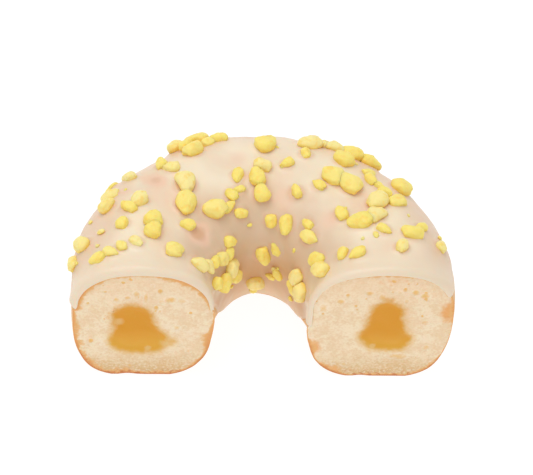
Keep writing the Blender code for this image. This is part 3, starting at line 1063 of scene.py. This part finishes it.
def make_icing(material, chips):
    """A closed shell over the crown that ends in a rounded roll at each cut."""
    fine = np.linspace(0, END_SHARE, END_STATIONS, endpoint=False)
    stations = np.concatenate([fine, np.linspace(END_SHARE, 1 - END_SHARE, ICING_AROUND), (1 - fine)[::-1]])
    loops = []
    inward = []
    swell = []
    for u in stations:
        outer, inner, inward_here, swell_here = icing_station(u)
        inward.append(inward_here)
        swell.append(swell_here)
        outer, proud = roll_end(u, outer, inner)
        loop = on_ring(u, np.concatenate([outer, inner[::-1]]))
        loop[:, 1] -= np.concatenate([proud, proud[::-1]])
        loops.append(loop)
    grid = np.array(loops)
    top = grid[:, :ICING_ACROSS]
    normal = np.cross(np.gradient(top, axis=0), np.gradient(top, axis=1))
    normal /= np.maximum(np.linalg.norm(normal, axis=2), LEAST_LENGTH)[..., None]
    thin = thin_shares(top.reshape(-1, 3)).reshape(top.shape[:2])
    foot = foot_shares(top.reshape(-1, 3), chips).reshape(top.shape[:2])
    lift = CREEP_HEIGHT * foot - THIN_DENT * thin
    grid[:, :ICING_ACROSS] += normal * lift[..., None]
    count = 2 * ICING_ACROSS
    rows = rings(0, len(loops), count)
    faces = skin(rows)
    for row in (rows[0], rows[-1]):
        for i in range(ICING_ACROSS - 1):
            faces.append((row[i], row[i + 1], row[count - 2 - i], row[count - 1 - i]))
    item = new_piece("icing_coat", grid.reshape(-1, 3), faces, material)
    for name, values in (("inward", inward), ("swell", swell), ("thin", thin), ("foot", foot)):
        outside = np.array(values)
        mark(item, name, np.concatenate([outside, outside[:, ::-1]], axis=1).ravel())
    mark(item, "cut", (grid[..., 1].ravel() + CUT_OFFSET) / MM)
    return item


def icing_material():
    """Satin cream, a little peach where the crust shows through a thin spot, with painted light and shade:
    lighter swells and peach hollows, darker steep sides, a warmer, darker hole where the icing is also
    thinner, and a warm painted shadow round each crunch piece's foot.
    """
    look = {"roughness": 0.4, "subsurface": 0.2, "depth": 1.5 * MM}
    material, tree, shader, place = new_material("icing", **look)
    swell = kept(tree, "swell")
    # Painted light and shade of the relief: lighter on the swells and peach in the hollows, where the icing
    # is also thicker and thinner
    colour = lay(tree, ICING_MID, ICING_LIGHT, swell, -0.1, 0.35)
    colour = lay(tree, colour, ICING_THIN, swell, -0.12, -0.45, most=0.4)
    # Painted shade, deeper inward into the hole, where thinner icing also lets the crust show
    inward = maths(tree, "ADD", kept(tree, "inward"), wander(tree, place, BEND_SIZE, 9.0))
    colour = lay(tree, colour, ICING_OUTER_SHADE, inward, -3.0, -17.0)
    colour = lay(tree, colour, ICING_SLOPE_SHADE, inward, 1.0, 12.5)
    colour = lay(tree, colour, ICING_DEEP_THIN_AND_SHADE, inward, 16.5, 28.5)
    colour = lay(tree, colour, ICING_WALL_THIN_AND_SHADE, inward, 31.0, 39.0)
    thin = kept(tree, "thin")
    colour = lay(tree, colour, ICING_THIN, thin, 0.0, 0.7, most=0.9)
    colour = lay(tree, colour, ICING_BARE_AND_SHADOW, thin, 0.6, 1.0)
    # Painted shadow: a warm shade round the foot of each crunch piece
    colour = lay(tree, colour, ICING_BARE_AND_SHADOW, kept(tree, "foot"), 0.1, 1.0, most=0.4)
    cut = kept(tree, "cut")
    colour = lay(tree, colour, ICING_MID, cut, 9.0, 2.5, most=0.7)
    lip = maths(tree, "ADD", cut, wander(tree, place, LIP_FRAY_SIZE, 1.6))
    colour = lay(tree, colour, ICING_LIP, lip, 2.9, 0.9, most=0.92)
    gloss = ramp(tree, cloud(tree, place, GLOSS_SIZE), 0.3, 0.7, 0.34, 0.5)
    tree.links.new(gloss, shader.inputs["Roughness"])
    finish(tree, shader, colour, cloud(tree, place, ICING_BUMP_SIZE), ICING_BUMP, strength=0.5)
    return material


# The crunch pieces and their specks

SHAPE_TAPERS = (-0.1, 0.0, 0.1, 0.2, 0.3, 0.4)
SHAPE_FINENESS = 4
SHAPE_FLATS = 6
SHAPE_FLAT_AT = (0.72, 0.9)
SHAPE_FLATNESS = 0.6
SHAPE_BLOCKY = 0.88
SHAPE_SWELL = 1.05
SHAPE_DENT = 0.12
SHAPE_DENT_PACE = 1.7
SHAPE_SEED = 11
CHUNK_GRAIN = (0.8 * MM, 0.34 * MM)
SINK_MOST = 0.55
SPECK_SEED = 31
SPECK_COUNT = 30
SPECK_LENGTH = (0.7 * MM, 1.1 * MM, 2.0 * MM)
SPECK_FINENESS = 3
SPECK_SHAPE_SEED = 41
SPECK_GRAIN = (0.5 * MM, 0.12 * MM)
CRUNCH_PATCH = 1.6 * MM
CRUNCH_FLECK = 0.4 * MM
CRUNCH_BUMP_SIZE = 0.3 * MM
CRUNCH_BUMP = 0.14 * MM
CRUNCH_GLOW = (1.0, 0.75, 0.4)
CRUNCH_YELLOW = tone(255, 230, 122)
CRUNCH_PALE = tone(255, 234, 164)
CRUNCH_DEEP = tone(254, 210, 90)
CRUNCH_UNDERSIDE_SHADE = tone(255, 212, 92)


def icing_sites():
    """Places on the icing, clear of its edges and of the cut: points, their axes, and areas."""
    rows = []
    for u in np.linspace(0, 1, SITES_AROUND):
        section = Section(u)
        arc = np.linspace(section.outer_edge + EDGE_MARGIN, section.inner_edge - EDGE_MARGIN, SITES_ACROSS)
        rows.append(on_ring(u, section.at(arc, np.full(SITES_ACROSS, ICING_PROUD))))
    points = np.array(rows)
    along = np.gradient(points, axis=0)
    outward = np.cross(along, np.gradient(points, axis=1))
    area = np.linalg.norm(outward, axis=2)
    outward /= area[..., None]
    along /= np.linalg.norm(along, axis=2)[..., None]
    axes = np.stack([along, np.cross(outward, along), outward], axis=3)
    clear = points[..., 1] > CUT_MARGIN - CUT_OFFSET
    return points[clear], axes[clear], area[clear]


def draw_chip(draw, point, axes, length):
    """A crunch piece of this length at a place on the icing, its other measures drawn in a fixed order."""
    return {
        "point": point,
        "axes": axes,
        "length": length,
        "width": length * draw.uniform(*CRUNCH_WIDTH),
        "height": min(length * draw.uniform(*CRUNCH_HEIGHT), CRUNCH_HIGHEST),
        "turn": draw.uniform(0, 2 * math.pi),
        "taper": draw.uniform(*CRUNCH_TAPER),
    }


def crunch_places():
    """Where each crunch piece lies and how large it is, by the solid model's rule and seed."""
    draw = np.random.RandomState(CRUNCH_SEED)
    points, axes, area = icing_sites()
    chance = area * (STEEP_SHARE + (1 - STEEP_SHARE) * np.clip(axes[:, 2, 2], 0, 1))
    chance /= chance.sum()
    places = []
    while len(places) < CRUNCH_COUNT:
        length = draw.triangular(*CRUNCH_LENGTH)
        site = draw.choice(len(points), p=chance)
        room = CRUNCH_ROOM
        if places and draw.uniform() < CLUSTER_SHARE:
            last = places[-1]
            turn = draw.uniform(0, 2 * math.pi)
            step = draw.uniform(*CLUSTER_STEP) * (length + last["length"]) / 2
            wish = last["point"] + step * (last["axes"] @ [math.cos(turn), math.sin(turn), 0])
            site = np.argmin(np.linalg.norm(points - wish, axis=1))
            room = CLUSTER_ROOM
        crowded = any(
            np.linalg.norm(points[site] - other["point"]) < room / 2 * (length + other["length"])
            for other in places
        )
        if not crowded:
            places.append(draw_chip(draw, points[site], axes[site], length))
    return places


def speck_places():
    """Small crumbs of the crunch pieces, spread over the icing between them."""
    draw = np.random.RandomState(SPECK_SEED)
    points, axes, area = icing_sites()
    places = []
    for site in draw.choice(len(points), SPECK_COUNT, replace=False, p=area / area.sum()):
        length = draw.triangular(*SPECK_LENGTH)
        places.append(draw_chip(draw, points[site], axes[site], length))
    return places


def make_shape(name, taper, fineness, seed, collection):
    """One chunk of unit size: a ball with flattened sides and soft dents, narrower towards +X."""
    draw = np.random.RandomState(seed)
    mesh = bmesh.new()
    bmesh.ops.create_icosphere(mesh, subdivisions=fineness, radius=1.0)
    flats = []
    for _ in range(SHAPE_FLATS):
        direction = Vector(draw.normal(size=3)).normalized()
        flats.append((direction, draw.uniform(*SHAPE_FLAT_AT)))
    for vertex in mesh.verts:
        vertex.co = Vector([math.copysign(abs(c) ** SHAPE_BLOCKY, c) for c in vertex.co])
        for direction, far in flats:
            over = vertex.co.dot(direction) - far
            if over > 0:
                vertex.co -= direction * over * SHAPE_FLATNESS
        dent = SHAPE_SWELL + SHAPE_DENT * noise.noise(vertex.co * SHAPE_DENT_PACE + Vector((seed, 0, 0)))
        x, y, z = vertex.co * dent
        narrow = 1 - taper * x
        vertex.co = Vector((x, y * narrow, z * (1 + narrow) / 2))
    data = bpy.data.meshes.new(name)
    mesh.to_mesh(data)
    mesh.free()
    item = bpy.data.objects.new(name, data)
    # How low each point lies on the chunk, for the painted shade on its underside
    mark(item, "low", [(1 - vertex.co.z) / 2 for vertex in data.vertices])
    collection.objects.link(item)


def make_shapes(name, fineness, seed):
    """A collection of chunks, one for each taper, that the scatter tree picks from by number."""
    collection = bpy.data.collections.new(name)
    for i, taper in enumerate(SHAPE_TAPERS):
        make_shape(f"{name}_{i}", taper, fineness, seed + i, collection)
    return collection


def scatter_tree():
    """Geometry nodes that set a chunk on each point, turned and sized as it says, and grain the surface."""
    inputs = {"Shapes": "Collection", "Grain size": "Float", "Grain depth": "Float", "Material": "Material"}
    tree, given = open_tree("crunch scatter", inputs)
    shapes = add(tree, "GeometryNodeCollectionInfo", {"Collection": given["Shapes"]})
    shapes.inputs["Separate Children"].default_value = True
    shapes.inputs["Reset Children"].default_value = True
    values = {
        "Points": given["Geometry"],
        "Instance": shapes.outputs[0],
        "Pick Instance": True,
        "Instance Index": named(tree, "shape", "INT"),
        "Rotation": named(tree, "turned", "FLOAT_VECTOR"),
        "Scale": named(tree, "half", "FLOAT_VECTOR"),
    }
    chunks = add(tree, "GeometryNodeInstanceOnPoints", values).outputs[0]
    real = add(tree, "GeometryNodeRealizeInstances", {"Geometry": chunks}).outputs[0]
    scale = maths(tree, "DIVIDE", 1.0, given["Grain size"])
    grain = add(tree, "ShaderNodeTexNoise", {"Scale": scale, "Detail": 3.0}).outputs["Fac"]
    depth = maths(tree, "MULTIPLY", maths(tree, "SUBTRACT", grain, 0.5), given["Grain depth"])
    normal = add(tree, "GeometryNodeInputNormal").outputs[0]
    push = add(tree, "ShaderNodeVectorMath", {0: normal, "Scale": depth}, operation="SCALE").outputs[0]
    grained = add(tree, "GeometryNodeSetPosition", {"Geometry": real, "Offset": push}).outputs[0]
    close_tree(tree, grained, given["Material"])
    return tree


def scatter(name, places, shapes, tree, grain, material):
    """All chunks of one kind as one mesh, with a grain of this size and depth."""
    points = []
    turned_by = []
    for place in places:
        half_height = place["height"] / 2
        sink = min(CRUNCH_SINK, SINK_MOST * half_height)
        points.append(place["point"] + place["axes"][:, 2] * (half_height - sink))
        turn = Matrix(place["axes"].tolist()) @ Matrix.Rotation(place["turn"], 3, "Z")
        turned_by.append(turn.to_euler("XYZ")[:])
    item = new_piece(name, np.array(points), [], material)
    halves = [(place["length"] / 2, place["width"] / 2, place["height"] / 2) for place in places]
    picked = [int(np.argmin(np.abs(np.array(SHAPE_TAPERS) - place["taper"]))) for place in places]
    for layer, kind, key, values in (
        ("turned", "FLOAT_VECTOR", "vector", turned_by),
        ("half", "FLOAT_VECTOR", "vector", halves),
        ("shape", "INT", "value", picked),
    ):
        attribute = item.data.attributes.new(layer, kind, "POINT")
        attribute.data.foreach_set(key, np.array(values).ravel())
    mark(item, "tint", np.random.RandomState(CRUNCH_SEED).uniform(size=len(places)))
    grain_size, grain_depth = grain
    values = {"Shapes": shapes, "Grain size": grain_size, "Grain depth": grain_depth, "Material": material}
    return run_tree(item, tree, values)


def crunch_material():
    """Matt lemon yellow with a fine sugary grain; some pieces are paler than others, and each has a deeper
    orange-gold painted shade on its lower side.
    """
    look = {"roughness": 0.6, "subsurface": 0.45, "depth": 1.2 * MM}
    material, tree, shader, place = new_material("crunch", **look)
    shader.inputs["Subsurface Radius"].default_value = CRUNCH_GLOW
    colour = lay(tree, CRUNCH_YELLOW, CRUNCH_PALE, kept(tree, "tint"), 0.55, 1.0, most=0.85)
    colour = lay(tree, colour, CRUNCH_DEEP, cloud(tree, place, CRUNCH_PATCH, 3.0), 0.5, 0.7, most=0.6)
    colour = lay(tree, colour, CRUNCH_PALE, cloud(tree, place, CRUNCH_FLECK), 0.55, 0.75, most=0.6)
    # Painted shade: deeper and more orange towards the bottom of each piece
    colour = lay(tree, colour, CRUNCH_UNDERSIDE_SHADE, kept(tree, "low"), 0.3, 0.75, most=0.8)
    finish(tree, shader, colour, cloud(tree, place, CRUNCH_BUMP_SIZE, 3.0), CRUNCH_BUMP, strength=0.7)
    return material


# Camera, light and floor

CAMERA_DISTANCE = 0.6
CAMERA_RISE = 48.0
CAMERA_YAW = -4.64
CAMERA_ROLL = 4.02
CAMERA_LENS = 171.86
CAMERA_LOOKS_AT = np.array([0.0, 18.0, 15.0]) * MM
PICTURE_RIGHT = 2.0 * MM
PICTURE_UP = 4.17 * MM
SURROUND_LIGHT = 0.66

# Area lights: (name, place, breadth, power)
LIGHTS = (
    ("light_above", (-0.15, 0.15, 0.8), 0.6, 2.6),
    ("light_front", (-0.1, -0.9, 0.12), 0.7, 1.3),
)
FLOOR_REACH = 2.0
FLOOR_GREY = 0.15
FLOOR_GLOW = 0.92
FLOOR_SHINE = 0.1


def make_camera():
    """The photograph's view: from 48 degrees above, over the two cut faces."""
    rise, yaw, roll = (math.radians(angle) for angle in (CAMERA_RISE, CAMERA_YAW, CAMERA_ROLL))
    back = Vector((math.sin(yaw) * math.cos(rise), -math.cos(yaw) * math.cos(rise), math.sin(rise)))
    level = Vector((math.cos(yaw), math.sin(yaw), 0))
    upright = back.cross(level)
    right = math.cos(roll) * level + math.sin(roll) * upright
    up = math.cos(roll) * upright - math.sin(roll) * level
    target = Vector(CAMERA_LOOKS_AT + PLACE)
    eye = target + back * CAMERA_DISTANCE
    behind = (eye - target - PICTURE_RIGHT * right - PICTURE_UP * up).normalized()
    right = up.cross(behind).normalized()
    data = bpy.data.cameras.new("camera")
    data.lens = CAMERA_LENS
    camera = bpy.data.objects.new("camera", data)
    turn = Matrix((right, behind.cross(right), behind)).transposed()
    camera.matrix_world = Matrix.Translation(eye) @ turn.to_4x4()
    bpy.context.scene.collection.objects.link(camera)
    bpy.context.scene.camera = camera


def soft_light(name, place, size, power):
    """A large square light that looks at the doughnut."""
    data = bpy.data.lights.new(name, "AREA")
    data.size = size
    data.energy = power
    light = bpy.data.objects.new(name, data)
    light.location = place
    light.rotation_euler = (-Vector(place)).to_track_quat("-Z", "Y").to_euler()
    bpy.context.scene.collection.objects.link(light)


def make_floor():
    """A pale floor, most of whose light is its own, so that only soft shadows show on it."""
    material, _, shader, _ = new_material("floor", roughness=0.9)
    shader.inputs["Base Color"].default_value = (FLOOR_GREY, FLOOR_GREY, FLOOR_GREY, 1.0)
    shader.inputs["Emission Color"].default_value = (1.0, 1.0, 1.0, 1.0)
    shader.inputs["Emission Strength"].default_value = FLOOR_GLOW
    shader.inputs["Specular IOR Level"].default_value = FLOOR_SHINE
    data = bpy.data.meshes.new("floor")
    corners = [(x * FLOOR_REACH, y * FLOOR_REACH, 0) for x, y in ((-1, -1), (1, -1), (1, 1), (-1, 1))]
    data.from_pydata(corners, [], [(0, 1, 2, 3)])
    data.materials.append(material)
    floor = bpy.data.objects.new("floor", data)
    bpy.context.scene.collection.objects.link(floor)


def make_studio():
    """Even soft light, a pale floor and a white surround."""
    world = bpy.data.worlds.new("surround")
    world.use_nodes = True
    background = world.node_tree.nodes["Background"]
    background.inputs["Color"].default_value = (1.0, 1.0, 1.0, 1.0)
    background.inputs["Strength"].default_value = SURROUND_LIGHT
    bpy.context.scene.world = world
    bpy.context.scene.view_settings.view_transform = "Standard"
    for light in LIGHTS:
        soft_light(*light)
    make_floor()


def dress(item, slot, *nodes):
    """The piece rides on the doughnut's one body and stands for these nodes."""
    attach(item, "root")
    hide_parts(*nodes)


def main():
    make_camera()
    make_studio()
    chips = crunch_places()
    crunch = crunch_material()
    tree = scatter_tree()
    dress(make_dough(dough_material()), "dough", "dough")
    dress(make_custard(custard_material()), "filling", "filling")
    dress(make_icing(icing_material(), chips), "icing", "icing")
    chunks = make_shapes("crunch_shape", SHAPE_FINENESS, SHAPE_SEED)
    dress(scatter("crunch_pieces", chips, chunks, tree, CHUNK_GRAIN, crunch), "icing", "icing")
    crumbs = make_shapes("speck_shape", SPECK_FINENESS, SPECK_SHAPE_SEED)
    dress(scatter("crunch_specks", speck_places(), crumbs, tree, SPECK_GRAIN, crunch), "icing", "icing")


main()
